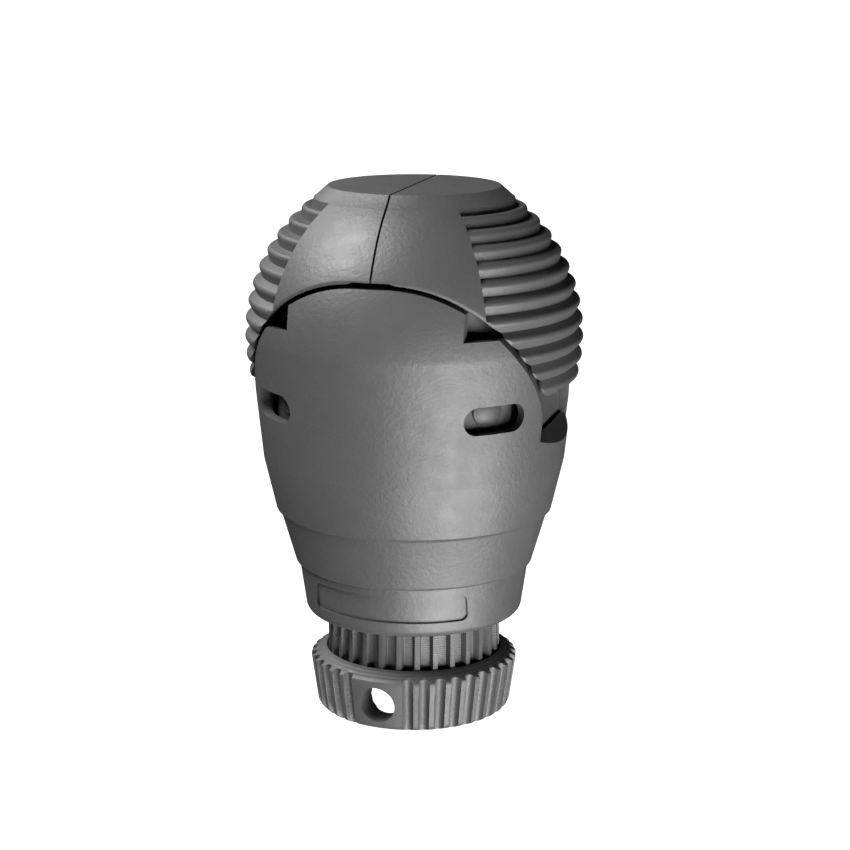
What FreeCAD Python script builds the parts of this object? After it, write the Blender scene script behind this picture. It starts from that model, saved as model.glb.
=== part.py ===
import FreeCAD, Part

"""Motorised actuator head for a radiator or zone valve.

Frame: millimetres, +Z up along the valve axis, origin on the axis at the union nut's open face.
-Y is the front, the side with the name recess.  +X is the right-hand cover.
Run alone, it writes one STEP file for each sub-part into parts/.
"""

import os
import re

import Sketcher

# ---------------------------------------------------------------- driving dimensions (mm, degrees)

SIZES = {
    # outer form of the covers
    "sphere_height": 77.45,
    "cover_radius": 33.76,
    "crown_height": 107.04,
    "crown_radius": 17.2,
    "cover_foot_height": 66.3,
    "cover_wall": 2.4,
    "split_gap": 0.22,
    "rib_sector": 100.0,
    "rib_first": 54.05,
    "rib_second": 49.4,
    "rib_pitch": 6.21,
    "rib_depth": 1.2,
    "rib_round": 1.0,
    "rib_land": 1.3,
    "rib_last_below": 13.0,
    "foot_round": 5.0,
    "foot_edge": 0.6,
    # outer form of the housing
    "housing_radius": 33.04,
    "housing_wall": 2.2,
    "housing_top": 92.0,
    "waist_radius": 30.35,
    "waist_height": 52.7,
    "tier_two_top_radius": 27.88,
    "tier_two_top_height": 42.2,
    "tier_two_low_radius": 27.0,
    "tier_two_low_height": 41.2,
    "tier_one_top_radius": 24.05,
    "tier_one_top_height": 31.2,
    "tier_one_low_radius": 23.3,
    "tier_one_low_height": 30.6,
    "base_rim_radius": 22.05,
    "base_rim_height": 22.0,
    "base_edge_radius": 20.3,
    "base_height": 20.3,
    "base_round": 1.9,
    "floor_thickness": 2.2,
    # the arch that parts the housing from the covers
    "arch_flat_half": 2.76,
    "arch_round": 26.4,
    "arch_centre_height": 64.5,
    "arch_gap": 0.9,
    "side_gap": 0.35,
    "shield_half": 17.3,
    "ledge_height": 81.3,
    "pry_slot_half": 3.5,
    "pry_slot_rise": 0.35,
    # side windows and their sloped sills
    "window_half": 12.0,
    "sill_inner": 27.7,
    "sill_height": 60.35,
    "sill_slope": 40.0,
    # oval catch slots
    "slot_half": 6.7,
    "slot_round": 2.8,
    "slot_height": 65.8,
    # blank name recess
    "plate_half": 15.6,
    "plate_low": 23.5,
    "plate_high": 29.1,
    "plate_depth": 0.5,
    "plate_corner": 1.2,
    "floor_taper": 0.3,
    "sill_pad": 1.2,
    "sill_pad_half": 9.0,
    # cover hinges
    "hinge_offset": 24.2,
    "hinge_height": 62.6,
    "hinge_barrel": 1.8,
    "pin_radius": 0.9,
    "pin_half": 12.3,
    "leg_face": 27.4,
    "leg_thickness": 2.2,
    "leg_half": 11.0,
    "leg_foot": 61.1,
    "web_low": 68.4,
    "web_high": 70.8,
    # union nut
    "thread_radius": 14.19,
    "nut_height": 10.6,
    "nut_crown": 12.4,
    "nut_top_radius": 21.13,
    "nut_low_radius": 19.73,
    "nut_low_height": 0.98,
    "nut_face_radius": 18.15,
    "nut_round": 1.75,
    "nut_lip": 1.1,
    "nut_teeth": 40,
    "nut_gap_round": 1.05,
    "nut_gap_depth": 1.3,
    "nut_gap_count": 37,
    "nut_turn": -5.5,
    "bar_hole_radius": 3.72,
    "bar_hole_height": 5.5,
    # ribbed neck
    "neck_radius": 17.6,
    "neck_root": 16.2,
    "neck_shoulder": 16.95,
    "neck_band": 0.9,
    "neck_ribs": 30,
    "neck_rib_width": 1.38,
    "neck_spigot": 16.5,
    "neck_bore": 12.0,
    "neck_foot": 8.7,
    "neck_floor": 3.3,
    "flange_radius": 18.85,
    "flange_thickness": 0.7,
    # clearances
    "running_fit": 0.05,
    "nut_clearance": 0.25,
    "axial_play": 0.1,
    "hinge_play": 0.3,
    # gearbox
    "plate_thickness": 2.0,
    "plate_radius": 19.9,
    "bearing_plate_radius": 22.5,
    "bearing_plate_height": 37.3,
    "bearing_plate_thickness": 1.2,
    "gear_module": 0.5,
    "drive_teeth": 42,
    "wheel_teeth": 28,
    "pinion_teeth": 10,
    "drive_face_low": 26.0,
    "drive_face": 3.0,
    "stage_one_low": 31.5,
    "stage_two_low": 35.0,
    "wheel_face": 2.0,
    "hub_radius": 1.5,
    "axle_radius": 0.75,
    "drive_hub_radius": 4.4,
    "drive_journal": 4.0,
    "lower_angle": -60.0,
    "lower_to_upper": 50.7,
    "upper_to_motor": 102.6,
    # spindle
    "spindle_radius": 3.0,
    "spindle_foot": 8.9,
    "spindle_top": 42.0,
    "spindle_flat": 2.4,
    "spindle_flat_top": 19.0,
    "bush_radius": 5.0,
    "bush_flange": 6.5,
    "bush_flange_thickness": 1.0,
    "washer_thickness": 0.8,
    "washer_radius": 6.5,
    # screws, spacers and posts
    "screw_radius": 1.0,
    "screw_head": 1.9,
    "screw_head_height": 1.2,
    "neck_screw_circle": 14.25,
    "neck_screw_depth": 7.0,
    "neck_screw_count": 4,
    "screw_tip_room": 0.5,
    "spacer_radius": 2.0,
    "spacer_circle": 17.4,
    "post_circle": 19.6,
    # motor
    "motor_radius": 7.0,
    "motor_wall": 0.7,
    "motor_height": 16.0,
    "motor_cap": 2.0,
    "rotor_radius": 4.8,
    "magnet_thickness": 1.1,
    # chassis
    "chassis_radius": 28.2,
    "chassis_wall": 1.6,
    "chassis_half": 23.6,
    "deck_height": 57.5,
    "deck_thickness": 2.0,
    "chassis_top": 88.0,
    "lug_inner": 11.3,
    "lug_thickness": 1.1,
    "stud_height": 66.9,
    "stud_head": 3.1,
    "stud_rim": 0.4,
    "stud_crown": 0.8,
    "stud_shank": 1.45,
    # power and control
    "cell_radius": 7.2,
    "cell_length": 48.6,
    "cell_nub": 2.7,
    "cell_nub_height": 1.4,
    "cell_spread": 7.6,
    "cell_back": 9.6,
    "tray_floor": 48.0,
    "tray_thickness": 2.0,
    "tray_half": 15.4,
    "tray_wall": 1.4,
    "tray_back": 0.5,
    "motor_side": 2.0,
    "bridge_half": 12.0,
    "bridge_front": 13.4,
    "contact_radius": 4.5,
    "contact_thickness": 0.4,
    "board_half": 14.0,
    "board_low": 61.0,
    "board_high": 97.0,
    "board_thickness": 1.6,
    "board_gap": 2.5,
}

PARTS = []

doc = FreeCAD.newDocument("ActuatorHead")
sheet = doc.addObject("Spreadsheet::Sheet", "Sizes")
for row, (alias, size) in enumerate(SIZES.items(), start=1):
    sheet.set(f"A{row}", alias)
    sheet.set(f"B{row}", str(size))
    sheet.setAlias(f"B{row}", alias)
doc.recompute()

WORD = re.compile(r"[a-z][a-z_]*")
UP = FreeCAD.Vector(0, 0, 1)


# ---------------------------------------------------------------- small helpers

def linked(formula):
    """The formula with every alias pointing at the sheet."""
    return WORD.sub(lambda hit: f"Sizes.{hit[0]}" if hit[0] in SIZES else hit[0], formula)


def value(formula):
    """The formula's number, from the sheet."""
    return float(sheet.evalExpression(formula))


def bind(thing, name, formula):
    """Ties a property to the sheet."""
    thing.setExpression(name, linked(formula))


def place(thing, x="0", y="0", z="0", turn=None):
    """Ties an object's place to the sheet; turn is a fixed rotation."""
    if turn is not None:
        thing.Placement = FreeCAD.Placement(FreeCAD.Vector(), turn)
    for axis, formula in zip("xyz", (x, y, z)):
        if formula != "0":
            bind(thing, f"Placement.Base.{axis}", formula)
    return thing


def about(axis, degrees):
    """A rotation about a named axis."""
    axes = {"x": FreeCAD.Vector(1, 0, 0), "y": FreeCAD.Vector(0, 1, 0), "z": UP}
    return FreeCAD.Rotation(axes[axis], degrees)


def keep(thing, label):
    """Names a finished sub-part after its node."""
    thing.Label = label
    PARTS.append(thing)
    return thing


def cylinder(radius, height, x="0", y="0", z="0", turn=None):
    """A Part cylinder with bound sizes."""
    thing = doc.addObject("Part::Cylinder", "Cylinder")
    bind(thing, "Radius", radius)
    bind(thing, "Height", height)
    return place(thing, x, y, z, turn)


def box(length, width, height, x="0", y="0", z="0"):
    """A Part box with bound sizes; x, y and z are its low corner."""
    thing = doc.addObject("Part::Box", "Box")
    bind(thing, "Length", length)
    bind(thing, "Width", width)
    bind(thing, "Height", height)
    return place(thing, x, y, z)


def middle_box(half_x, y, width, z, height):
    """A box centred on X."""
    return box(f"2 * ({half_x})", width, height, f"-({half_x})", y, z)


def join(things):
    """Fuses objects that touch, or groups ones that don't."""
    thing = doc.addObject("Part::MultiFuse", "Join")
    thing.Shapes = things
    return thing


def overlap(base, tool):
    """What two objects share."""
    thing = doc.addObject("Part::Common", "Common")
    thing.Base = base
    thing.Tool = tool
    return thing


def cut(base, tool):
    """The base without the tool."""
    thing = doc.addObject("Part::Cut", "Cut")
    thing.Base = base
    thing.Tool = tool
    return thing


def tube(outer, inner, height, x="0", y="0", z="0"):
    """A round tube."""
    return cut(cylinder(outer, height, x, y, z), cylinder(inner, height, x, y, z))


def new_body(name):
    """An empty PartDesign body."""
    return doc.addObject("PartDesign::Body", name)


def datum(body, role):
    """One of the body's own origin planes or axes."""
    return next(item for item in body.Origin.OriginFeatures if item.Role == role)


def new_sketch(body, role="XZ_Plane", lift=None):
    """A sketch on one of the body's origin planes; lift raises it along the plane's normal."""
    sketch = body.newObject("Sketcher::SketchObject", "Sketch")
    sketch.AttachmentSupport = [(datum(body, role), "")]
    sketch.MapMode = "FlatFace"
    if lift:
        bind(sketch, "AttachmentOffset.Base.z", lift)
    return sketch


def hold(sketch, item, end, corner):
    """Ties one end of a curve to its place, as formulas."""
    for kind, formula, axis in (("DistanceX", corner[0], -2), ("DistanceY", corner[1], -1)):
        if abs(value(formula)) < 1e-9:
            sketch.addConstraint(Sketcher.Constraint("PointOnObject", item, end, axis))
        else:
            index = sketch.addConstraint(Sketcher.Constraint(kind, -1, 1, item, end, value(formula)))
            bind(sketch, f"Constraints[{index}]", formula)


def bend_between(start, finish, radius, bulge):
    """The arc from start to finish; a right bulge turns anticlockwise about its centre."""
    chord = finish - start
    middle = (start + finish) * 0.5
    rise = max(radius * radius - chord.Length * chord.Length / 4, 0.0) ** 0.5
    left = FreeCAD.Vector(-chord.y, chord.x, 0).normalize()
    centre = middle + left * (rise if bulge == "right" else -rise)
    first, last = (start, finish) if bulge == "right" else (finish, start)
    arm_first = first - centre
    arm_last = last - centre
    east = FreeCAD.Vector(1, 0, 0)
    angle_first = east.getAngle(arm_first) * (1 if arm_first.y >= 0 else -1)
    angle_last = east.getAngle(arm_last) * (1 if arm_last.y >= 0 else -1)
    return Part.ArcOfCircle(Part.Circle(centre, UP, radius), angle_first, angle_last)


def outline(sketch, corners):
    """A closed outline.

    Each corner is (across, up) for a straight run to the next corner, or
    (across, up, radius, bulge) for an arc that bulges to the left or right of travel.
    """
    points = [FreeCAD.Vector(value(corner[0]), value(corner[1]), 0) for corner in corners]
    heads = []
    for index, corner in enumerate(corners):
        start = points[index]
        finish = points[(index + 1) % len(points)]
        if len(corner) == 2:
            sketch.addGeometry(Part.LineSegment(start, finish), False)
            heads.append(1)
        else:
            sketch.addGeometry(bend_between(start, finish, value(corner[2]), corner[3]), False)
            heads.append(1 if corner[3] == "right" else 2)
    for index, corner in enumerate(corners):
        before = (index - 1) % len(corners)
        sketch.addConstraint(
            Sketcher.Constraint("Coincident", before, 3 - heads[before], index, heads[index])
        )
    for index, corner in enumerate(corners):
        hold(sketch, index, heads[index], corner)
        if len(corner) == 4:
            number = sketch.addConstraint(Sketcher.Constraint("Radius", index, value(corner[2])))
            bind(sketch, f"Constraints[{number}]", corner[2])
    return sketch


def ring_line(sketch, across, up, radius):
    """A circle with its centre and radius bound."""
    centre = FreeCAD.Vector(value(across), value(up), 0)
    item = sketch.addGeometry(Part.Circle(centre, UP, value(radius)), False)
    hold(sketch, item, 3, (across, up))
    index = sketch.addConstraint(Sketcher.Constraint("Radius", item, value(radius)))
    bind(sketch, f"Constraints[{index}]", radius)
    return sketch


def feature(body, kind, sketch):
    """A PartDesign feature on a sketch."""
    thing = body.newObject(f"PartDesign::{kind}", kind)
    thing.Profile = sketch
    body.Tip = thing
    return thing


def spin(body, kind, sketch, angle="360"):
    """A Revolution or Groove about Z, centred on the sketch's plane."""
    thing = feature(body, kind, sketch)
    thing.ReferenceAxis = (sketch, ["V_Axis"])
    bind(thing, "Angle", angle)
    thing.Midplane = True
    return thing


def push(body, kind, sketch, length, both=False, back=False):
    """A Pad or Pocket; both puts half on each side of the sketch."""
    thing = feature(body, kind, sketch)
    bind(thing, "Length", length)
    thing.SideType = "Symmetric" if both else "One side"
    thing.Reversed = back
    return thing


def repeat(body, thing, count, angle="360"):
    """A polar pattern about Z."""
    pattern = body.newObject("PartDesign::PolarPattern", "PolarPattern")
    pattern.Originals = [thing]
    pattern.Axis = (datum(body, "Z_Axis"), [""])
    bind(pattern, "Occurrences", count)
    bind(pattern, "Angle", angle)
    body.Tip = pattern
    return pattern


def polar(radius, angle):
    """Formulas for a point on a circle about the origin."""
    return f"({radius}) * cos({angle})", f"({radius}) * sin({angle})"


# ---------------------------------------------------------------- housing

def on_sphere(radius, height):
    """Formula for a sphere's radius at a height."""
    return f"sqrt(({radius})^2 - (({height}) - sphere_height)^2)"


def arch_edge(gap):
    """The arch from the middle to its foot on the +X side, with a gap outside it."""
    radius = f"arch_round + {gap}"
    return [
        ("0", f"arch_centre_height + {radius}"),
        ("arch_flat_half", f"arch_centre_height + {radius}", radius, "left"),
        (f"arch_flat_half + {radius}", "arch_centre_height"),
    ]


def lower_housing():
    """The tiered cup, with arch, ledges, side windows, catch slots and name recess."""
    body = new_body("HousingBody")
    inner = "housing_radius - housing_wall"
    floor = "base_height + floor_thickness"
    outline(new_sketch(body), [
        ("neck_spigot + axial_play", "base_height"),
        ("base_edge_radius", "base_height", "base_round", "right"),
        ("base_rim_radius", "base_rim_height"),
        ("tier_one_low_radius", "tier_one_low_height"),
        ("tier_one_top_radius", "tier_one_top_height"),
        ("tier_two_low_radius", "tier_two_low_height"),
        ("tier_two_top_radius", "tier_two_top_height"),
        ("waist_radius", "waist_height"),
        ("housing_radius", "sphere_height", "housing_radius", "right"),
        (on_sphere("housing_radius", "housing_top"), "housing_top"),
        (on_sphere(inner, "housing_top"), "housing_top", inner, "left"),
        (inner, "sphere_height"),
        ("waist_radius - housing_wall", "waist_height"),
        ("tier_two_top_radius - housing_wall", "tier_two_top_height"),
        ("tier_one_top_radius - housing_wall", "tier_one_top_height"),
        ("base_rim_radius - housing_wall + floor_taper", floor),
        ("neck_spigot + axial_play", floor),
    ])
    spin(body, "Revolution", body.Group[-1])

    sill = new_sketch(body)
    outline(sill, [
        ("sill_inner", "waist_height + 2"),
        ("sill_inner + sill_pad", "waist_height + 2"),
        ("sill_inner + sill_pad", "sill_height"),
        ("sill_inner", "sill_height"),
    ])
    repeat(body, push(body, "Pad", sill, "2 * sill_pad_half", both=True), "2")

    beyond = "housing_radius + 2"
    sill_at_arch = "sill_height - (arch_flat_half + arch_round - sill_inner) * tan(sill_slope)"
    sill_beyond = "sill_height - (housing_radius + 2 - sill_inner) * tan(sill_slope)"
    above = new_sketch(body)
    outline(above, arch_edge("0") + [
        ("arch_flat_half + arch_round", sill_at_arch),
        (beyond, sill_beyond),
        (beyond, "housing_top + 5"),
        ("0", "housing_top + 5"),
    ])
    repeat(body, push(body, "Pocket", above, "4 * housing_radius", both=True), "2")

    ledge = new_sketch(body)
    outline(ledge, [
        ("shield_half", "ledge_height"),
        (beyond, "ledge_height"),
        (beyond, "housing_top + 5"),
        ("shield_half", "housing_top + 5"),
    ])
    repeat(body, push(body, "Pocket", ledge, "4 * housing_radius", both=True), "2")

    window = new_sketch(body)
    outline(window, [
        ("hinge_offset", "waist_height + 4"),
        ("sill_inner", "waist_height + 4"),
        ("sill_inner", "sill_height"),
        (beyond, sill_beyond),
        (beyond, "housing_top + 5"),
        ("hinge_offset", "housing_top + 5"),
    ])
    repeat(body, push(body, "Pocket", window, "2 * window_half", both=True), "2")

    tools = [slot_tool(45), slot_tool(-45), name_recess_tool()]
    return keep(cut(body, join(tools)), "lower_housing")


def slot_tool(azimuth):
    """A long rounded bar that cuts two opposite catch slots."""
    reach = "slot_half - slot_round"
    across = about("x", -90)
    bar = join([
        box(f"2 * ({reach})", "4 * housing_radius", "2 * slot_round",
            f"-({reach})", "-2 * housing_radius", "slot_height - slot_round"),
        cylinder("slot_round", "4 * housing_radius", reach, "-2 * housing_radius", "slot_height", across),
        cylinder("slot_round", "4 * housing_radius", f"-({reach})", "-2 * housing_radius",
                 "slot_height", across),
    ])
    bar.Placement = FreeCAD.Placement(FreeCAD.Vector(), about("z", azimuth))
    return bar


def name_recess_tool():
    """A shallow rounded band on the front of the lowest tier."""
    block = middle_box("plate_half", "-base_rim_radius - 8", "base_rim_radius", "plate_low",
                       "plate_high - plate_low")
    doc.recompute()
    rounded = doc.addObject("Part::Fillet", "Rounded")
    rounded.Base = block
    corner = value("plate_corner")
    rounded.Edges = [
        (number, corner, corner)
        for number, edge in enumerate(block.Shape.Edges, start=1)
        if abs(edge.tangentAt(0).y) > 0.9
    ]
    core = doc.addObject("Part::Cone", "Cone")
    bind(core, "Radius1", "base_rim_radius - plate_depth")
    bind(core, "Radius2", "tier_one_low_radius - plate_depth")
    bind(core, "Height", "tier_one_low_height - base_rim_height")
    place(core, z="base_rim_height")
    return cut(rounded, core)


# ---------------------------------------------------------------- covers

def rib_line():
    """The ribbed outline from below the crown's edge: a valley, then each rib's rounded crest."""
    def point(radius, angle):
        return f"({radius}) * cos({angle})", f"sphere_height + ({radius}) * sin({angle})"

    valley = "cover_radius - rib_depth"
    # the crest's arc ends this far below the crest
    shoulder = ("cover_radius - rib_round + "
                "sqrt(rib_round * rib_round - (cover_radius * sin(rib_land)) ^ 2)")
    corners = [point(valley, "(rib_first + rib_second) / 2")]
    count = int((value("rib_second") + value("rib_last_below")) / value("rib_pitch")) + 1
    for number in range(count):
        crest = f"rib_second - rib_pitch * {number}"
        corners.append(point(shoulder, f"{crest} + rib_land") + ("rib_round", "left"))
        if number < count - 1:
            corners.append(point(shoulder, f"{crest} - rib_land"))
            corners.append(point(valley, f"{crest} - rib_pitch / 2"))
        else:
            corners.append(point(shoulder, f"{crest} - rib_land") + ("foot_round", "left"))
    return corners


def half_shell(label, turn):
    """One ribbed cover with its leg, hinge barrel and pin bore."""
    body = new_body("CoverBody")
    inner = "cover_radius - cover_wall"
    rim = ("cover_radius * cos(rib_first)", "sphere_height + cover_radius * sin(rib_first)")
    foot = (on_sphere("cover_radius", "cover_foot_height"), "cover_foot_height")
    shell = new_sketch(body)
    outline(shell, [
        ("0", "crown_height"),
        ("0", "crown_height - cover_wall"),
        (on_sphere(inner, "crown_height - cover_wall"), "crown_height - cover_wall", inner, "left"),
        (on_sphere(inner, "cover_foot_height"), "cover_foot_height"),
        (foot[0], foot[1], "cover_radius", "right"),
        rim,
        ("crown_radius", "crown_height"),
    ])
    spin(body, "Revolution", shell, "180")

    split = new_sketch(body)
    outline(split, [
        ("0", "cover_foot_height"),
        ("split_gap", "cover_foot_height"),
        ("split_gap", "crown_height + 2"),
        ("0", "crown_height + 2"),
    ])
    push(body, "Pocket", split, "4 * cover_radius", both=True)

    below = new_sketch(body)
    radius = "arch_round + arch_gap"
    slot_top = f"arch_centre_height + {radius} + pry_slot_rise"
    outline(below, [
        ("0", "cover_foot_height - 6"),
        ("0", slot_top),
        ("pry_slot_half", slot_top),
        ("pry_slot_half + 1", f"arch_centre_height + {radius}", radius, "left"),
        ("arch_flat_half + arch_round + side_gap", "arch_centre_height + 3"),
        ("arch_flat_half + arch_round + side_gap", "cover_foot_height - 6"),
    ])
    push(body, "Pocket", below, "4 * cover_radius", both=True)

    leg = new_sketch(body)
    outline(leg, [
        ("leg_face - leg_thickness", "leg_foot"),
        ("leg_face", "leg_foot"),
        ("leg_face", "web_low"),
        ("cover_radius - 2", "web_low"),
        ("cover_radius - 2", "web_high"),
        ("leg_face - leg_thickness", "web_high"),
    ])
    push(body, "Pad", leg, "2 * leg_half", both=True)
    barrel = ring_line(new_sketch(body), "hinge_offset", "hinge_height", "hinge_barrel")
    push(body, "Pad", barrel, "2 * leg_half", both=True)

    ribs = new_sketch(body)
    outer = "cover_radius + 3"
    corners = [rim] + rib_line() + [
        (f"{on_sphere(inner, 'cover_foot_height')} + foot_edge", "cover_foot_height - 0.2"),
        (outer, "cover_foot_height - 0.2"),
        (outer, rim[1]),
    ]
    outline(ribs, corners)
    spin(body, "Groove", ribs, "rib_sector")

    bore = ring_line(new_sketch(body), "hinge_offset", "hinge_height", "pin_radius + running_fit")
    push(body, "Pocket", bore, "4 * leg_half", both=True)
    body.Placement = FreeCAD.Placement(FreeCAD.Vector(), about("z", turn))
    return keep(body, label)


def hinge_pin(label, side):
    """The pin that a cover turns on."""
    pin = cylinder("pin_radius", "2 * pin_half", f"{side} * hinge_offset", "-pin_half",
                   "hinge_height", about("x", -90))
    return keep(pin, label)


# ---------------------------------------------------------------- union nut and neck

def union_nut():
    """The knurled union nut, with one plain boss and its tommy-bar hole."""
    body = new_body("NutBody")
    shoulder = "neck_foot - axial_play"
    lip = "nut_height - nut_lip"
    profile = new_sketch(body)
    outline(profile, [
        ("thread_radius", "0"),
        ("nut_face_radius", "0", "nut_round", "right"),
        ("nut_low_radius", "nut_low_height"),
        ("nut_top_radius", "nut_height"),
        ("neck_radius + nut_clearance", "nut_crown"),
        ("neck_radius + nut_clearance", lip),
        ("flange_radius + nut_clearance", lip),
        ("flange_radius + nut_clearance", shoulder),
        ("thread_radius", shoulder),
    ])
    spin(body, "Revolution", profile)
    lean = "(nut_top_radius - nut_low_radius) / (nut_height - nut_low_height)"
    foot_radius = f"nut_low_radius - nut_low_height * {lean} - nut_gap_depth + nut_gap_round"
    gap = ring_line(new_sketch(body, "XY_Plane"), foot_radius, "0", "nut_gap_round")
    scallop = push(body, "Pocket", gap, "2 * nut_height")
    scallop.UseCustomVector = True
    scallop.Direction = FreeCAD.Vector(value(lean), 0, 1)
    repeat(body, scallop, "nut_gap_count", "(nut_gap_count - 1) * 360 / nut_teeth")
    boss = 180.0 / value("nut_teeth") * (value("nut_teeth") - value("nut_gap_count") + 1)
    hole = cylinder("bar_hole_radius", "2 * nut_top_radius", z="bar_hole_height",
                    turn=about("z", -boss).multiply(about("y", 90)))
    nut = cut(body, hole)
    nut.Placement = FreeCAD.Placement(FreeCAD.Vector(), about("z", value("nut_turn") - 90 + boss))
    return keep(nut, "union_nut")


def neck_collar():
    """The ribbed neck whose flange carries the union nut."""
    body = new_body("NeckBody")
    floor = "neck_foot + neck_floor"
    flange = "neck_foot + flange_thickness"
    top = "base_height + floor_thickness"
    band = "base_height - neck_band"
    profile = new_sketch(body)
    outline(profile, [
        ("bush_radius + running_fit", "neck_foot"),
        ("flange_radius", "neck_foot"),
        ("flange_radius", flange),
        ("neck_root", flange),
        ("neck_root", band),
        ("neck_shoulder", band),
        ("neck_shoulder", "base_height"),
        ("neck_spigot", "base_height"),
        ("neck_spigot", top),
        ("neck_bore", top),
        ("neck_bore", floor),
        ("bush_radius + running_fit", floor),
    ])
    spin(body, "Revolution", profile)
    rib = new_sketch(body, "XY_Plane", flange)
    outline(rib, [
        ("neck_root - 0.5", "neck_rib_width / 2"),
        ("neck_root - 0.5", "-neck_rib_width / 2"),
        ("neck_radius", "-neck_rib_width / 2"),
        ("neck_radius", "neck_rib_width / 2"),
    ])
    repeat(body, push(body, "Pad", rib, f"{band} - ({flange})"), "neck_ribs")
    hole = ring_line(new_sketch(body, "XY_Plane", top), "neck_screw_circle", "0",
                     "screw_radius + running_fit")
    repeat(body, push(body, "Pocket", hole, "neck_screw_depth + screw_tip_room"), "neck_screw_count")
    return keep(body, "neck_collar")


def screws(label, places, foot, seat):
    """Pan-head screws as one group: places are formula pairs."""
    pieces = []
    for x, y in places:
        pieces.append(cylinder("screw_radius", f"({seat}) - ({foot})", x, y, foot))
        pieces.append(cut(
            cylinder("screw_head", "screw_head_height", x, y, seat),
            box("0.5", "2.4 * screw_radius", "screw_head_height",
                f"{x} - 0.25", f"{y} - 1.2 * screw_radius", f"{seat} + 0.6"),
        ))
    return keep(join(pieces), label)


# ---------------------------------------------------------------- gearbox

def centres():
    """Formulas for the gears' axes, from the tooth counts and the module."""
    drive_reach = "gear_module * (drive_teeth + pinion_teeth) / 2"
    wheel_reach = "gear_module * (wheel_teeth + pinion_teeth) / 2"
    lower = polar(drive_reach, "lower_angle")
    step = polar(wheel_reach, "lower_to_upper")
    upper = (f"{lower[0]} + {step[0]}", f"{lower[1]} + {step[1]}")
    step = polar(wheel_reach, "upper_to_motor")
    motor = (f"{upper[0]} + {step[0]}", f"{upper[1]} + {step[1]}")
    return lower, upper, motor


def toothed(body, teeth, low, face, phase):
    """Adds a spur gear to a body: a disc, one tooth, and the tooth's pattern."""
    root = f"gear_module * {teeth} / 2 - 1.2 * gear_module"
    tip = f"gear_module * {teeth} / 2 + 0.85 * gear_module"
    pitch_radius = f"gear_module * {teeth} / 2"
    disc = ring_line(new_sketch(body, "XY_Plane", low), "0", "0", root)
    push(body, "Pad", disc, face)
    tooth = new_sketch(body, "XY_Plane", low)
    tooth.AttachmentOffset = FreeCAD.Placement(
        FreeCAD.Vector(0, 0, value(low)), about("z", phase)
    )
    bind(tooth, "AttachmentOffset.Base.z", low)
    half_root = "0.98 * gear_module"
    half_pitch = "0.68 * gear_module"
    half_tip = "0.34 * gear_module"
    outline(tooth, [
        (f"{root} - 0.3 * gear_module", half_root),
        (f"{root} - 0.3 * gear_module", f"-{half_root}"),
        (root, f"-{half_root}"),
        (pitch_radius, f"-{half_pitch}"),
        (tip, f"-{half_tip}"),
        (tip, half_tip),
        (pitch_radius, half_pitch),
        (root, half_root),
    ])
    repeat(body, push(body, "Pad", tooth, face), teeth)


def hub(body, radius, low, height):
    """Adds a plain round to a body."""
    push(body, "Pad", ring_line(new_sketch(body, "XY_Plane", low), "0", "0", radius), height)


def drill(body, radius, low, height):
    """Takes a bore through a body, upwards from a height."""
    circle = ring_line(new_sketch(body, "XY_Plane", low), "0", "0", radius)
    push(body, "Pocket", circle, height, back=True)


def drive_gear(phase):
    """The output gear, whose threaded hub drives the spindle."""
    body = new_body("DriveGearBody")
    seat = "base_height + floor_thickness + plate_thickness + washer_thickness + running_fit"
    hub(body, "drive_hub_radius", seat, f"bearing_plate_height - running_fit - ({seat})")
    hub(body, "drive_journal", "bearing_plate_height - 1", "bearing_plate_thickness + 1.5")
    toothed(body, "drive_teeth", "drive_face_low", "drive_face", phase)
    drill(body, "spindle_radius + running_fit", "spindle_foot", "spindle_top")
    return keep(body, "drive_gear")


def stage_gear(label, centre, wheel_low, wheel_phase, pinion_low, pinion_face, pinion_phase):
    """A wheel and pinion moulded as one, on its axle."""
    body = new_body("StageGearBody")
    seat = "base_height + floor_thickness + plate_thickness + axial_play"
    hub(body, "hub_radius", seat, f"bearing_plate_height - axial_play - ({seat})")
    toothed(body, "wheel_teeth", wheel_low, "wheel_face", wheel_phase)
    toothed(body, "pinion_teeth", pinion_low, pinion_face, pinion_phase)
    drill(body, "axle_radius + running_fit", "spindle_foot", "spindle_top")
    place(body, *centre)
    return keep(body, label)


def motor_pinion(centre, phase):
    """The small gear pressed on the motor's shaft."""
    body = new_body("MotorPinionBody")
    toothed(body, "pinion_teeth", "stage_two_low - 0.2", "wheel_face + 0.2", phase)
    drill(body, "axle_radius", "spindle_foot", "spindle_top")
    place(body, *centre)
    return keep(body, "motor_pinion")


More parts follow.
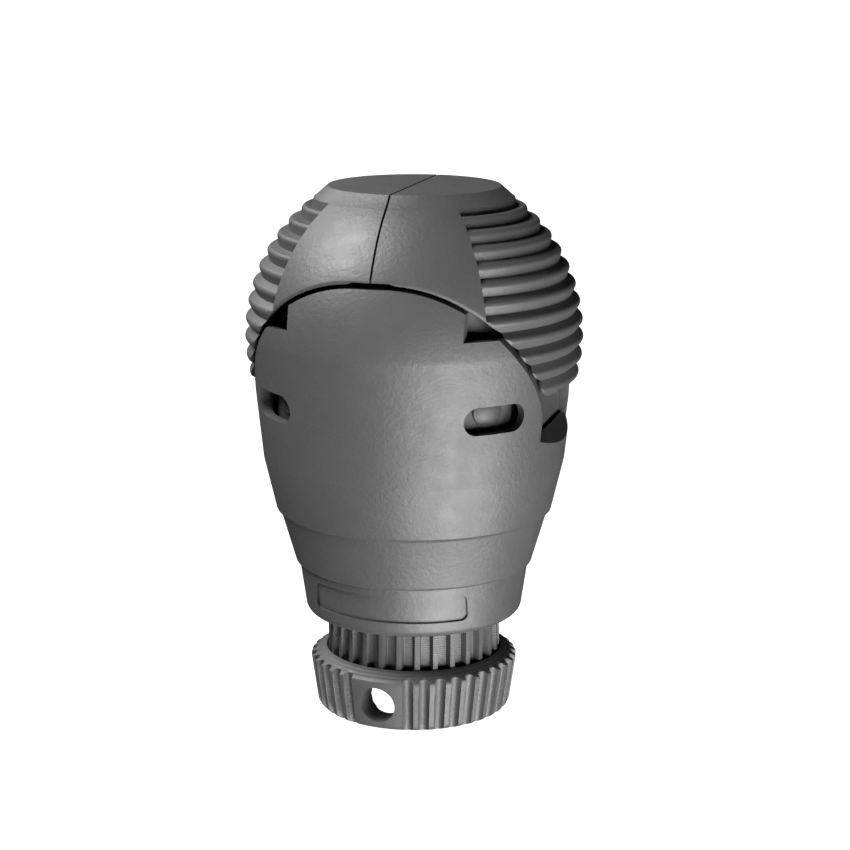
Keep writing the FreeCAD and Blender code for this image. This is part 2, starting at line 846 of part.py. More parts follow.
def gearbox(lower, upper, motor):
    """Plates, axles, spacers and screws round the gears."""
    seat = "base_height + floor_thickness"
    top = f"{seat} + plate_thickness"
    spots = [polar("spacer_circle", angle) for angle in ("60", "150", "240")]
    neck_spots = [polar("neck_screw_circle", angle) for angle in ("0", "90", "180", "270")]
    holes = [cylinder("spindle_radius + 1", "plate_thickness", z=seat)]
    holes += [cylinder("axle_radius", "plate_thickness", *centre, seat) for centre in (lower, upper)]
    holes += [cylinder("screw_radius", "plate_thickness", *spot, seat) for spot in spots]
    holes += [cylinder("screw_radius + running_fit", "plate_thickness", *spot, seat)
              for spot in neck_spots]
    keep(cut(cylinder("plate_radius", "plate_thickness", z=seat), join(holes)), "base_plate")

    roof = "bearing_plate_height"
    thick = "bearing_plate_thickness"
    holes = [cylinder("drive_journal + running_fit", thick, z=roof)]
    holes += [cylinder("axle_radius", thick, *centre, roof) for centre in (lower, upper)]
    holes += [cylinder("axle_radius + 0.4", thick, *motor, roof)]
    holes += [cylinder("screw_radius", thick, *spot, roof) for spot in spots]
    keep(cut(cylinder("bearing_plate_radius", thick, z=roof), join(holes)), "bearing_plate")

    for label, centre in (("lower_gear_axle", lower), ("upper_gear_axle", upper)):
        keep(cylinder("axle_radius", f"{roof} + {thick} - ({seat})", *centre, seat), label)
    spacers = [tube("spacer_radius", "screw_radius", f"{roof} - ({top})", *spot, top) for spot in spots]
    keep(join(spacers), "plate_spacers")
    screws("gearbox_screws", spots, f"{seat} + 0.2", f"{roof} + {thick}")
    screws("neck_screws", neck_spots, f"{seat} - neck_screw_depth", top)
    keep(tube("washer_radius", "spindle_radius + 0.5", "washer_thickness", z=top), "thrust_washer")


def push_spindle():
    """The output spindle: flats guide it below, its thread runs in the drive gear."""
    rod = cylinder("spindle_radius", "spindle_top - spindle_foot", z="spindle_foot")
    flats = [
        middle_box("spindle_radius + 1", formula, "spindle_radius", "spindle_foot",
                   "spindle_flat_top - spindle_foot")
        for formula in ("spindle_flat", "-spindle_flat - spindle_radius")
    ]
    return keep(cut(rod, join(flats)), "push_spindle")


def guide_bush():
    """The flanged bush in the neck's floor, with a two-flat bore."""
    floor = "neck_foot + neck_floor"
    outer = join([
        cylinder("bush_radius", "neck_floor", z="neck_foot"),
        cylinder("bush_flange", "bush_flange_thickness", z=floor),
    ])
    height = "neck_floor + bush_flange_thickness"
    bore = overlap(
        cylinder("spindle_radius + running_fit", height, z="neck_foot"),
        middle_box("spindle_radius + 1", "-spindle_flat - running_fit",
                   "2 * (spindle_flat + running_fit)", "neck_foot", height),
    )
    return keep(cut(outer, bore), "guide_bush")


# ---------------------------------------------------------------- motor

def motor_parts(centre):
    """Can, end cap, magnets and rotor of the small motor."""
    foot = "bearing_plate_height + bearing_plate_thickness"
    inner = "motor_radius - motor_wall"
    floor = f"{foot} + motor_wall"
    can = cut(
        cylinder("motor_radius", "motor_height", *centre, foot),
        join([
            cylinder(inner, "motor_height", *centre, floor),
            cylinder("axle_radius + running_fit", "motor_height", *centre, foot),
        ]),
    )
    keep(can, "motor_can")
    roof = f"{foot} + motor_height"
    cap = cut(
        join([
            cylinder("motor_radius", "motor_cap / 2", *centre, roof),
            cylinder(f"{inner} - running_fit", "motor_cap", *centre, f"{roof} - motor_cap"),
        ]),
        cylinder("axle_radius + running_fit", "2 * motor_cap", *centre, f"{roof} - motor_cap"),
    )
    keep(cap, "motor_end_cap")
    x, y = centre
    ring = tube(f"{inner}", f"{inner} - magnet_thickness", "motor_height - 2 * motor_cap - 2", x, y,
                f"{floor} + 1")
    slot = box("4 * motor_radius", "3", "motor_height", f"{x} - 2 * motor_radius", f"{y} - 1.5", floor)
    keep(cut(ring, slot), "motor_magnets")
    rotor = join([
        cylinder("rotor_radius", "motor_height - 2 * motor_cap - 3", x, y, f"{floor} + 1.5"),
        cylinder("axle_radius", f"{roof} + motor_cap / 2 + 0.4 - stage_two_low + 0.2", x, y,
                 "stage_two_low - 0.2"),
    ])
    return keep(rotor, "motor_rotor")


# ---------------------------------------------------------------- chassis, power and control

def inner_chassis():
    """The frame inside: deck, front and back walls, and the hinge lugs."""
    top = "deck_height + deck_thickness"
    drum = cut(
        cylinder("chassis_radius", "chassis_top - deck_height", z="deck_height"),
        cylinder("chassis_radius - chassis_wall", "chassis_top - deck_height", z=top),
    )
    walls = overlap(drum, middle_box("chassis_half", "-chassis_radius", "2 * chassis_radius",
                                     "deck_height", "chassis_top - deck_height"))
    lugs = []
    for low in ("lug_inner", "-lug_inner - lug_thickness"):
        for x in ("hinge_offset - hinge_barrel", "-hinge_offset - 1.5"):
            lugs.append(box("hinge_barrel + 1.5", "lug_thickness", "hinge_height + 2 - deck_height",
                            x, low, "deck_height"))
    frame = join([walls] + lugs)
    holes = [middle_box("tray_half + 0.4", "-cell_back - cell_radius - 1",
                        "cell_back + cell_radius + 1 + 5", "deck_height", "deck_thickness")]
    for side in ("1", "-1"):
        holes.append(cylinder("pin_radius", "4 * lug_inner", f"{side} * hinge_offset",
                              "-2 * lug_inner", "hinge_height", about("x", -90)))
    for azimuth in (45, 135, 225, 315):
        holes.append(cylinder("stud_shank", "chassis_radius", z="stud_height",
                              turn=about("z", azimuth).multiply(about("y", 90))))
    holes.append(middle_box("chassis_half + 3", "-leg_half - hinge_play",
                            "2 * (leg_half + hinge_play)", top, "chassis_top"))
    walls_cut = cut(frame, join(holes))
    return keep(walls_cut, "inner_chassis")


def snap_studs():
    """Domed studs on the chassis, which catch in the housing's four slots."""
    studs = []
    for azimuth in (45, 135, 225, 315):
        body = new_body("StudBody")
        half = new_sketch(body)
        root = "chassis_radius - chassis_wall - 0.4"
        outline(half, [
            ("0", root),
            ("stud_shank", root),
            ("stud_shank", "chassis_radius"),
            ("stud_head", "chassis_radius"),
            ("stud_head", "chassis_radius + stud_rim",
             "(stud_head^2 + stud_crown^2) / (2 * stud_crown)", "right"),
            ("0", "chassis_radius + stud_rim + stud_crown"),
        ])
        spin(body, "Revolution", half)
        body.Placement = FreeCAD.Placement(
            FreeCAD.Vector(), about("z", azimuth).multiply(about("y", 90))
        )
        bind(body, "Placement.Base.z", "stud_height")
        studs.append(body)
    return keep(join(studs), "snap_studs")


def chassis_posts():
    """Three posts that carry the chassis on the gearbox."""
    foot = "bearing_plate_height + bearing_plate_thickness"
    posts = [
        cylinder("spacer_radius", f"deck_height - ({foot})", *polar("post_circle", angle), foot)
        for angle in ("100", "190", "345")
    ]
    return keep(join(posts), "chassis_posts")


def battery(label, side, upright):
    """One dry cell; the pair stand head to tail."""
    foot = "tray_floor + tray_thickness"
    x = f"{side} * cell_spread"
    y = "-cell_back"
    if upright:
        can = cylinder("cell_radius", "cell_length", x, y, f"{foot} + 2 * contact_thickness")
        nub = cylinder("cell_nub", "cell_nub_height", x, y,
                       f"{foot} + 2 * contact_thickness + cell_length")
    else:
        nub = cylinder("cell_nub", "cell_nub_height", x, y, f"{foot} + contact_thickness")
        can = cylinder("cell_radius", "cell_length", x, y,
                       f"{foot} + contact_thickness + cell_nub_height")
    return keep(join([can, nub]), label)


def power_and_control():
    """Battery tray, contacts, board and its parts."""
    foot = "tray_floor + tray_thickness"
    bridge = f"{foot} + 3 * contact_thickness + cell_length + cell_nub_height"
    front = "cell_back + cell_radius + 0.8"
    wall = "-tray_back - tray_wall"
    rise = f"{bridge} + 1.2 - ({{}})"
    beside = "tray_half + motor_side"
    over = "deck_height + 0.2"
    keep(join([
        middle_box("tray_half", f"-({front})", f"{front} - tray_back - tray_wall", "tray_floor",
                   "tray_thickness"),
        box(beside, "tray_wall", rise.format("tray_floor"), "-tray_half", wall, "tray_floor"),
        middle_box("tray_half", wall, "tray_wall", over, rise.format(over)),
        middle_box("bridge_half", "-bridge_front", "bridge_front - tray_back", bridge, "1.2"),
        middle_box("tray_half + 2.5", "-tray_back - tray_wall", "tray_wall",
                   "deck_height + deck_thickness", "3"),
    ]), "battery_tray")
    keep(join([
        cylinder("contact_radius", "2 * contact_thickness", "cell_spread", "-cell_back", foot),
        cylinder("contact_radius", "contact_thickness", "-cell_spread", "-cell_back", foot),
        cylinder("contact_radius", "contact_thickness", "cell_spread", "-cell_back",
                 f"{bridge} - contact_thickness"),
        cylinder("contact_radius", "2 * contact_thickness", "-cell_spread", "-cell_back",
                 f"{bridge} - 2 * contact_thickness"),
    ]), "battery_contacts")
    battery("battery_right", "1", True)
    battery("battery_left", "-1", False)

    face = "board_gap - tray_back"
    keep(middle_box("board_half", face, "board_thickness", "board_low", "board_high - board_low"),
         "circuit_board")
    pegs = [
        cylinder("1.2", f"{face} + tray_back", f"{side} * (board_half - 3)", "-tray_back", z,
                 about("x", -90))
        for side in ("1", "-1")
        for z in ("board_low + 3", "board_high - 3")
    ]
    keep(join(pegs), "board_pegs")
    back = f"{face} + board_thickness"
    keep(join([
        box("9", "1.2", "9", "-4.5", back, "board_low + 14"),
        box("6", "1.6", "4", "3", back, "board_low + 4"),
        cylinder("2.5", "5", "-8", back, "board_low + 8", about("x", -90)),
        cylinder("2.5", "5", "-8", back, "board_high - 8", about("x", -90)),
        box("10", "2.2", "5", "1", back, "board_high - 9"),
    ]), "board_components")


def check_and_write():
    """Stops on any failed object or bad shape, then writes one file for each sub-part."""
    doc.recompute()
    for thing in doc.Objects:
        if "Invalid" in thing.State or "Error" in thing.State:
            raise RuntimeError(f"{thing.Name} ({thing.Label}) failed: {thing.State}")
    os.makedirs("parts", exist_ok=True)
    for thing in PARTS:
        shape = thing.Shape
        if shape.isNull() or not shape.isValid() or not shape.Solids:
            raise RuntimeError(f"{thing.Label} has no valid solid")
        shape.exportStep(f"parts/{thing.Label}.step")
        print(f"{thing.Label}: {len(shape.Solids)} solid(s), {shape.Volume:.1f} mm3")


lower_centre, upper_centre, motor_centre = centres()
half_pitch = 180.0 / value("pinion_teeth")

lower_housing()
neck_collar()
union_nut()
half_shell("half_shell_right", 0)
half_shell("half_shell_left", 180)
hinge_pin("hinge_pin_right", "1")
hinge_pin("hinge_pin_left", "-1")
inner_chassis()
snap_studs()
chassis_posts()
gearbox(lower_centre, upper_centre, motor_centre)
drive_gear(value("lower_angle"))
stage_gear("lower_stage_gear", lower_centre, "stage_one_low", value("lower_to_upper"),
           "drive_face_low", "stage_one_low - drive_face_low",
           value("lower_angle") + 180 + half_pitch)
stage_gear("upper_stage_gear", upper_centre, "stage_two_low", value("upper_to_motor"),
           "stage_one_low - 0.2", "stage_two_low - stage_one_low + 0.2",
           value("lower_to_upper") + 180 + half_pitch)
motor_pinion(motor_centre, value("upper_to_motor") + 180 + half_pitch)
motor_parts(motor_centre)
push_spindle()
guide_bush()
power_and_control()
check_and_write()
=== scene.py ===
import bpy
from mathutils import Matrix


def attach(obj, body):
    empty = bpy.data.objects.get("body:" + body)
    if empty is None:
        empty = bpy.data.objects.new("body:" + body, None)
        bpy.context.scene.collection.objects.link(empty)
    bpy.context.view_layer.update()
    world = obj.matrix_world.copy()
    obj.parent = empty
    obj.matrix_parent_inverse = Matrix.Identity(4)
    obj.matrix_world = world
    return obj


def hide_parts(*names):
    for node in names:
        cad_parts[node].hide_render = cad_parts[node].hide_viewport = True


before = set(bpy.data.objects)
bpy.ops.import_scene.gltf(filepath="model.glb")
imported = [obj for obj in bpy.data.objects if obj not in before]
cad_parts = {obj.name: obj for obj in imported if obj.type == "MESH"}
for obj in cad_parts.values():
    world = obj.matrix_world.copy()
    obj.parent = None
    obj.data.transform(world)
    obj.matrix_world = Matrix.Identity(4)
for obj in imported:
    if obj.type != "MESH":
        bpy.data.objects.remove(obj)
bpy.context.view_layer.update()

"""Looks of a motorised valve actuator head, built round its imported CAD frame.

Blender works in metres.  The classes hold their sizes in millimetres, in the frame of the CAD
model: +Z up the valve axis, -Y the front, +X the right-hand cover.
"""

import logging
import math
from dataclasses import dataclass
from enum import Enum
from typing import Callable, Iterable, Optional, Sequence

import bmesh
import bpy
from mathutils import Matrix, Vector

MM = 0.001
LOG = logging.getLogger("actuator_head")
Profile = list[tuple[float, float]]
Loop = list[tuple[float, float]]


# ------------------------------------------------------------------ colour and nodes

def linear(code: str) -> tuple[float, float, float, float]:
    """Turns an sRGB hex colour to linear.

    Args:
        code: Six hex digits, with no mark in front.

    Returns:
        The linear colour with alpha 1.
    """
    parts = [int(code[start:start + 2], 16) / 255 for start in (0, 2, 4)]
    red, green, blue = [part / 12.92 if part <= 0.04045 else ((part + 0.055) / 1.055) ** 2.4
                        for part in parts]
    return (red, green, blue, 1.0)


def add_node(tree: bpy.types.NodeTree, kind: str, links: Optional[dict] = None,
             sockets: Optional[dict] = None, **settings: object) -> bpy.types.Node:
    """Adds a shader node with its settings, socket values and incoming links.

    Args:
        tree: The material's node tree.
        kind: The node's type name.
        links: Input socket name or number to the output socket that feeds it.
        sockets: Input socket name or number to its value.
        **settings: Attributes of the node itself.

    Returns:
        The new node.
    """
    node = tree.nodes.new(kind)
    for name, setting in settings.items():
        setattr(node, name, setting)
    for name, number in (sockets or {}).items():
        node.inputs[name].default_value = number
    for name, source in (links or {}).items():
        tree.links.new(source, node.inputs[name])
    return node


class Surface(Enum):
    """How a part's surface was made."""

    SPARK_ERODED = "moulded in a spark-eroded tool"
    RIBBED = "moulded in a milled tool, left plain"
    TURNED = "moulded in a turned tool"
    POLISHED = "moulded in a polished tool"
    DRAWN = "drawn or rolled metal"


# How much of the full grain each kind of moulded surface shows; the others have lines.
GRAIN_SHARE = {Surface.SPARK_ERODED: 1.0, Surface.RIBBED: 0.35, Surface.POLISHED: 0.1}


@dataclass(frozen=True)
class Finish:
    """A material: what it is made of, its colour and its surface.

    Widths and depths are in mm: cloud and film are the width of the patches of colour and of
    gloss, grain and depth the width and height of the grain, and line the spacing of turned lines.
    """

    name: str
    colour: str
    surface: Surface
    roughness: float
    metallic: float = 0.0
    ior: float = 1.5
    mottling: float = 0.06
    grain: float = 0.9
    depth: float = 0.08
    line: float = 0.45
    cloud: float = 9.0
    film: float = 3.5
    gloss_spread: float = 0.1
    fine_share: float = 0.45

    def material(self) -> bpy.types.Material:
        """Builds the material once, and returns it after that.

        Returns:
            The material.
        """
        found = bpy.data.materials.get(self.name)
        if found:
            return found
        made = bpy.data.materials.new(self.name)
        made.use_nodes = True
        tree = made.node_tree
        tree.nodes.clear()
        place = add_node(tree, "ShaderNodeTexCoord").outputs["Object"]
        shader = add_node(tree, "ShaderNodeBsdfPrincipled", sockets={"Metallic": self.metallic})
        if self.metallic < 0.5:
            shader.inputs["IOR"].default_value = self.ior
        self._dress_colour(tree, place, shader)
        self._dress_roughness(tree, place, shader)
        self._dress_relief(tree, place, shader)
        add_node(tree, "ShaderNodeOutputMaterial", links={"Surface": shader.outputs["BSDF"]})
        return made

    def _dress_colour(self, tree: bpy.types.NodeTree, place: bpy.types.NodeSocket,
                      shader: bpy.types.Node) -> None:
        """Slow mottling of the colour.

        Args:
            tree: The material's node tree.
            place: The position that the pattern follows.
            shader: The surface shader.
        """
        base = linear(self.colour)
        dark = tuple(part * (1 - self.mottling) for part in base[:3]) + (1.0,)
        pale = tuple(min(part * (1 + self.mottling), 1.0) for part in base[:3]) + (1.0,)
        cloud = add_node(tree, "ShaderNodeTexNoise", links={"Vector": place},
                         sockets={"Scale": 1 / (self.cloud * MM), "Detail": 3.0})
        mixed = add_node(tree, "ShaderNodeMix", data_type="RGBA", links={0: cloud.outputs["Fac"]},
                         sockets={6: dark, 7: pale})
        tree.links.new(mixed.outputs[2], shader.inputs["Base Color"])

    def _dress_roughness(self, tree: bpy.types.NodeTree, place: bpy.types.NodeSocket,
                         shader: bpy.types.Node) -> None:
        """Small changes of gloss, as handling leaves them.

        Args:
            tree: The material's node tree.
            place: The position that the pattern follows.
            shader: The surface shader.
        """
        film = add_node(tree, "ShaderNodeTexNoise", links={"Vector": place},
                        sockets={"Scale": 1 / (self.film * MM), "Detail": 4.0})
        spread = add_node(tree, "ShaderNodeMapRange", links={"Value": film.outputs["Fac"]},
                          sockets={
                              "From Min": 0.3, "From Max": 0.7,
                              "To Min": self.roughness * (1 - self.gloss_spread),
                              "To Max": min(self.roughness * (1 + self.gloss_spread), 1.0),
                          })
        tree.links.new(spread.outputs["Result"], shader.inputs["Roughness"])

    def _dress_relief(self, tree: bpy.types.NodeTree, place: bpy.types.NodeSocket,
                      shader: bpy.types.Node) -> None:
        """The grain, turned lines or drawing marks.

        Args:
            tree: The material's node tree.
            place: The position that the pattern follows.
            shader: The surface shader.
        """
        deep = self.depth * GRAIN_SHARE.get(self.surface, 1.0)
        if self.surface in GRAIN_SHARE:
            height = add_node(tree, "ShaderNodeTexNoise", links={"Vector": place}, sockets={
                "Scale": 1 / (self.grain * MM), "Detail": 3.5, "Roughness": 0.55, "Distortion": 0.4,
            }).outputs["Fac"]
        else:
            flat = add_node(tree, "ShaderNodeTexWave", links={"Vector": place}, wave_type="BANDS",
                            bands_direction="Z", sockets={
                                "Scale": math.pi / (10 * self.line * MM), "Distortion": 1.6,
                                "Detail": 2.0, "Detail Scale": 1.5,
                            }).outputs["Fac"]
            fine = add_node(tree, "ShaderNodeTexNoise", links={"Vector": place}, sockets={
                "Scale": 1 / (self.grain * MM), "Detail": 3.0,
            }).outputs["Fac"]
            height = add_node(tree, "ShaderNodeMix", data_type="FLOAT", links={2: flat, 3: fine},
                              sockets={0: self.fine_share}).outputs[0]
        bump = add_node(tree, "ShaderNodeBump", links={"Height": height},
                        sockets={"Strength": 1.0, "Distance": deep * MM})
        tree.links.new(bump.outputs["Normal"], shader.inputs["Normal"])


# Glass-filled nylon from a spark-eroded tool: a soft pebbled grain that scatters the highlights.
HOUSING_NYLON = Finish("glass_filled_nylon_spark_eroded", "464646", Surface.SPARK_ERODED, 0.46)
# The covers come from the same grade and the same kind of tool, so they share its pebbled grain.
COVER_NYLON = Finish("glass_filled_nylon_ribbed_cover", "464646", Surface.SPARK_ERODED, 0.46)
# The nut and neck were moulded in turned inserts: fine level lines, drawn wider than life to show.
TURNED_NYLON = Finish("glass_filled_nylon_turned", "484848", Surface.TURNED, 0.5, grain=0.5,
                      depth=0.05)
# Black nylon moulded in a milled tool: the plain, faintly grained frame inside.
FRAME_NYLON = Finish("black_nylon_frame", "37383A", Surface.RIBBED, 0.5)
# Acetal gears: white, waxy and smooth.
ACETAL = Finish("acetal_gear", "E4E2DA", Surface.POLISHED, 0.3, ior=1.48)
# Ground steel pins and screws: bright, with fine marks along them.
GROUND_STEEL = Finish("ground_steel", "B8BABD", Surface.DRAWN, 0.28, 1.0, grain=0.3, depth=0.004,
                      line=0.2)
# Nickel-plated deep-drawn can: a soft grey shine with faint level marks.
DRAWN_CAN = Finish("nickel_plated_drawn_steel", "A9ABAE", Surface.DRAWN, 0.34, 1.0, grain=0.4,
                   depth=0.006, line=0.3)
# Turned brass spindle, pinion and spacers: warm, with fine turned lines.
TURNED_BRASS = Finish("turned_brass", "C9A45C", Surface.TURNED, 0.3, 1.0, grain=0.3, depth=0.006,
                      line=0.2)
# Nickel-plated spring contacts: almost mirror bright.
NICKEL = Finish("nickel_plated_contact", "C9C8C4", Surface.DRAWN, 0.2, 1.0, grain=0.3, depth=0.004)
# Sintered ferrite magnet: dull and near black.
FERRITE = Finish("ferrite_magnet", "2B2B2D", Surface.RIBBED, 0.7)
# Shrunk plastic sleeve on the cells: glossy, even and unlettered.
CELL_SLEEVE = Finish("printed_cell_sleeve", "2E4A63", Surface.POLISHED, 0.28)
# Solder mask on a glass-epoxy board: glossy dark green.
SOLDER_MASK = Finish("solder_mask_board", "1E5A38", Surface.POLISHED, 0.3)
# Moulded epoxy of the chips: dull and black.
CHIP_EPOXY = Finish("moulded_epoxy_chip", "1C1C1E", Surface.RIBBED, 0.55)


# ------------------------------------------------------------------ mesh making

def new_piece(name: str, build: bmesh.types.BMesh) -> bpy.types.Object:
    """Turns built geometry into an object in the scene.

    Args:
        name: The object's name.
        build: The geometry, freed here.

    Returns:
        The object.
    """
    mesh = bpy.data.meshes.new(name)
    build.to_mesh(mesh)
    build.free()
    piece = bpy.data.objects.new(name, mesh)
    bpy.context.scene.collection.objects.link(piece)
    return piece


def drop(piece: bpy.types.Object) -> None:
    """Deletes a helper object and its mesh."""
    mesh = piece.data
    bpy.data.objects.remove(piece)
    bpy.data.meshes.remove(mesh)


def arc(centre: tuple[float, float], radius: float, first: float, last: float,
        steps: int) -> Profile:
    """Points along an arc.

    Args:
        centre: The arc's centre.
        radius: Its radius.
        first: The angle where it starts, in degrees.
        last: The angle where it ends, in degrees.
        steps: How many steps it has.

    Returns:
        Its points, both ends included.
    """
    return [
        (centre[0] + radius * math.cos(math.radians(first + (last - first) * step / steps)),
         centre[1] + radius * math.sin(math.radians(first + (last - first) * step / steps)))
        for step in range(steps + 1)
    ]


def lathe(name: str, azimuths: Sequence[float], section_at: Callable[[float], Profile],
          closed: bool = True) -> bpy.types.Object:
    """Turns a closed section about Z.

    Args:
        name: The object's name.
        azimuths: Degrees from the front, towards +X.
        section_at: Gives the closed loop of (radius, height) in mm at an azimuth, always of one
            length.
        closed: Whether the turn is a whole one; if not, its two ends are capped.

    Returns:
        The object.
    """
    build = bmesh.new()
    rings = []
    for azimuth in azimuths:
        angle = math.radians(azimuth)
        rings.append([
            build.verts.new((
                radius * math.sin(angle) * MM, -radius * math.cos(angle) * MM, height * MM))
            for radius, height in section_at(azimuth)
        ])
    count = len(rings[0])
    turns = len(rings) if closed else len(rings) - 1
    for turn in range(turns):
        here, there = rings[turn], rings[(turn + 1) % len(rings)]
        for index in range(count):
            after = (index + 1) % count
            build.faces.new((here[index], there[index], there[after], here[after]))
    if not closed:
        build.faces.new(list(rings[0]))
        build.faces.new(list(reversed(rings[-1])))
    bmesh.ops.remove_doubles(build, verts=build.verts, dist=1e-7)
    bmesh.ops.dissolve_degenerate(build, edges=build.edges, dist=1e-7)
    bmesh.ops.recalc_face_normals(build, faces=build.faces)
    return new_piece(name, build)


def turned(name: str, profile: Profile, steps: int = 240) -> bpy.types.Object:
    """Turns one closed profile all the way round."""
    return lathe(name, [turn * 360 / steps for turn in range(steps)], lambda azimuth: profile)


def swept_wedge(name: str, path: Sequence[Vector], over: Sequence[Vector], out: Sequence[Vector],
                reach: float) -> bpy.types.Object:
    """A cutter that rounds the edge along a path.

    Args:
        name: The object's name.
        path: Points of the sharp edge, in mm.
        over: At each point, the unit direction along the kept face, away from the edge.
        out: At each point, the unit direction out of the kept face.
        reach: How far back the rounding starts, in mm.

    Returns:
        The object.
    """
    lift = 0.6 * reach
    build = bmesh.new()
    rings = []
    for point, along, away in zip(path, over, out):
        spots = [point + along * reach + away * lift]
        for step in range(7):
            turn = math.radians(90 * step / 6)
            spots.append(point + along * reach * (1 - math.sin(turn))
                         - away * lift * 1.6 * (1 - math.cos(turn)))
        spots += [point - along * reach - away * lift * 1.6, point - along * reach + away * lift]
        rings.append([build.verts.new(spot * MM) for spot in spots])
    for here, there in zip(rings, rings[1:]):
        for index in range(len(here)):
            after = (index + 1) % len(here)
            build.faces.new((here[index], there[index], there[after], here[after]))
    build.faces.new(list(rings[0]))
    build.faces.new(list(reversed(rings[-1])))
    bmesh.ops.recalc_face_normals(build, faces=build.faces)
    return new_piece(name, build)


def prism(name: str, loop: Loop, low: float, high: float) -> bpy.types.Object:
    """Runs a closed loop along Y.

    Args:
        name: The object's name.
        loop: Its (x, z) points, in mm.
        low: Where it starts on Y, in mm.
        high: Where it ends on Y, in mm.

    Returns:
        The object.
    """
    build = bmesh.new()
    front = [build.verts.new((x * MM, low * MM, z * MM)) for x, z in loop]
    back = [build.verts.new((x * MM, high * MM, z * MM)) for x, z in loop]
    build.faces.new(front)
    build.faces.new(list(reversed(back)))
    for index in range(len(loop)):
        after = (index + 1) % len(loop)
        build.faces.new((front[after], front[index], back[index], back[after]))
    bmesh.ops.recalc_face_normals(build, faces=build.faces)
    return new_piece(name, build)


def carve(piece: bpy.types.Object, cutters: Iterable[bpy.types.Object],
          operation: str = "DIFFERENCE") -> bpy.types.Object:
    """Cuts or joins solids, one after another, and deletes the cutters.

    Args:
        piece: The solid that is kept.
        cutters: The solids taken from it or joined to it.
        operation: DIFFERENCE or UNION.

    Returns:
        The kept solid.
    """
    tools = list(cutters)
    for number, tool in enumerate(tools):
        step = piece.modifiers.new(f"carve_{number}", "BOOLEAN")
        step.operation = operation
        step.solver = "MANIFOLD"
        step.object = tool
    settle(piece)
    for tool in tools:
        drop(tool)
    return piece


def settle(piece: bpy.types.Object) -> None:
    """Applies every modifier to the mesh.

    Args:
        piece: The object whose modifiers are applied.
    """
    graph = bpy.context.evaluated_depsgraph_get()
    done = bpy.data.meshes.new_from_object(piece.evaluated_get(graph))
    old = piece.data
    piece.modifiers.clear()
    piece.data = done
    bpy.data.meshes.remove(old)


def finish_piece(piece: bpy.types.Object, finish: Finish, body: str,
                 nodes: Sequence[str], sharp: Optional[float] = None) -> bpy.types.Object:
    """Shades, paints and hands a piece to the body it rides on.

    Args:
        piece: The mesh object.
        finish: Its material.
        body: The CAD body that it moves with.
        nodes: CAD nodes that it stands for.
        sharp: Edges over this angle, in degrees, stay sharp; all are smooth when absent.

    Returns:
        The piece.
    """
    piece.data.materials.clear()
    piece.data.materials.append(finish.material())
    piece.data.shade_smooth()
    if sharp is not None:
        piece.data.set_sharp_from_angle(angle=math.radians(sharp))
    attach(piece, body)
    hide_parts(*nodes)
    LOG.info("%s: %d faces", piece.name, len(piece.data.polygons))
    return piece


# ------------------------------------------------------------------ housing

@dataclass
class Arch:
    """The arch that parts the housing from the covers."""

    flat_half: float = 2.76
    round: float = 26.4
    centre_height: float = 64.5

    def edge(self, gap: float) -> Loop:
        """From the middle of the arch to its foot on the +X side.

        Args:
            gap: Room left outside the arch, in mm.

        Returns:
            The open line of (x, z) points.
        """
        radius = self.round + gap
        return [(0.0, self.centre_height + radius)] + arc(
            (self.flat_half, self.centre_height), radius, 90, 0, 36)


